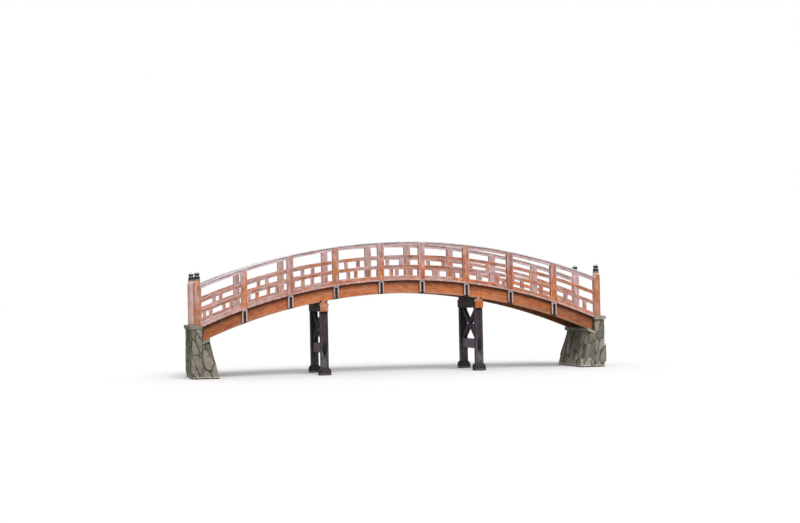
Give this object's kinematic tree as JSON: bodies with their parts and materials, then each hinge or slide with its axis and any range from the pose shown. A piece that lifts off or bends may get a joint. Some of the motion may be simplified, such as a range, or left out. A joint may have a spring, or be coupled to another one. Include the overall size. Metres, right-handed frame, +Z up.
{
  "type": "moon bridge",
  "caption": "Arched timber footbridge with curved railings, round end posts with metal caps, two braced timber piers and stone abutments.",
  "frame": {"origin": "middle of the bridge at the water's level", "axes": "+X along the bridge, to the right in the picture, +Y across it, away from the camera, +Z up"},
  "size_m": [12, 2.295, 3.722],
  "materials": {
    "deck_boards": "weathered cedar boards",
    "girder_timber": "stained laminated timber",
    "dark_timber": "dark stained timber",
    "bracket_timber": "weathered timber",
    "cap_board_timber": "stained timber",
    "pier_timber": "weathered dark timber",
    "footing_stone": "wet dark concrete",
    "abutment_stone": "rough fieldstone",
    "rail_timber": "weathered cedar",
    "handrail_timber": "silvered cedar",
    "post_timber": "weathered cedar",
    "end_post_timber": "weathered cedar",
    "finial_metal": "dark patinated metal"
  },
  "bodies": {
    "root": {"deck": "deck_boards", "girder_near": "girder_timber", "girder_far": "girder_timber", "cross_beams": "dark_timber", "brackets_near": "bracket_timber", "brackets_far": "bracket_timber", "cap_left": "dark_timber", "cap_right": "dark_timber", "cap_boards_left": "cap_board_timber", "cap_boards_right": "cap_board_timber", "column_near_left": "pier_timber", "end_post_near_left": "end_post_timber", "finial_near_left": "finial_metal", "column_near_right": "pier_timber", "end_post_near_right": "end_post_timber", "finial_near_right": "finial_metal", "column_far_left": "pier_timber", "end_post_far_left": "end_post_timber", "finial_far_left": "finial_metal", "column_far_right": "pier_timber", "end_post_far_right": "end_post_timber", "finial_far_right": "finial_metal", "girt_left": "pier_timber", "cross_brace_left": "pier_timber", "footings_left": "footing_stone", "abutment_left": "abutment_stone", "girt_right": "pier_timber", "cross_brace_right": "pier_timber", "footings_right": "footing_stone", "abutment_right": "abutment_stone", "curb_near": "rail_timber", "lower_rail_near": "rail_timber", "middle_rail_near": "rail_timber", "top_rail_near": "rail_timber", "handrail_near": "handrail_timber", "posts_near": "post_timber", "struts_near": "rail_timber", "curb_far": "rail_timber", "lower_rail_far": "rail_timber", "middle_rail_far": "rail_timber", "top_rail_far": "rail_timber", "handrail_far": "handrail_timber", "posts_far": "post_timber", "struts_far": "rail_timber"}
  },
  "joints": []
}
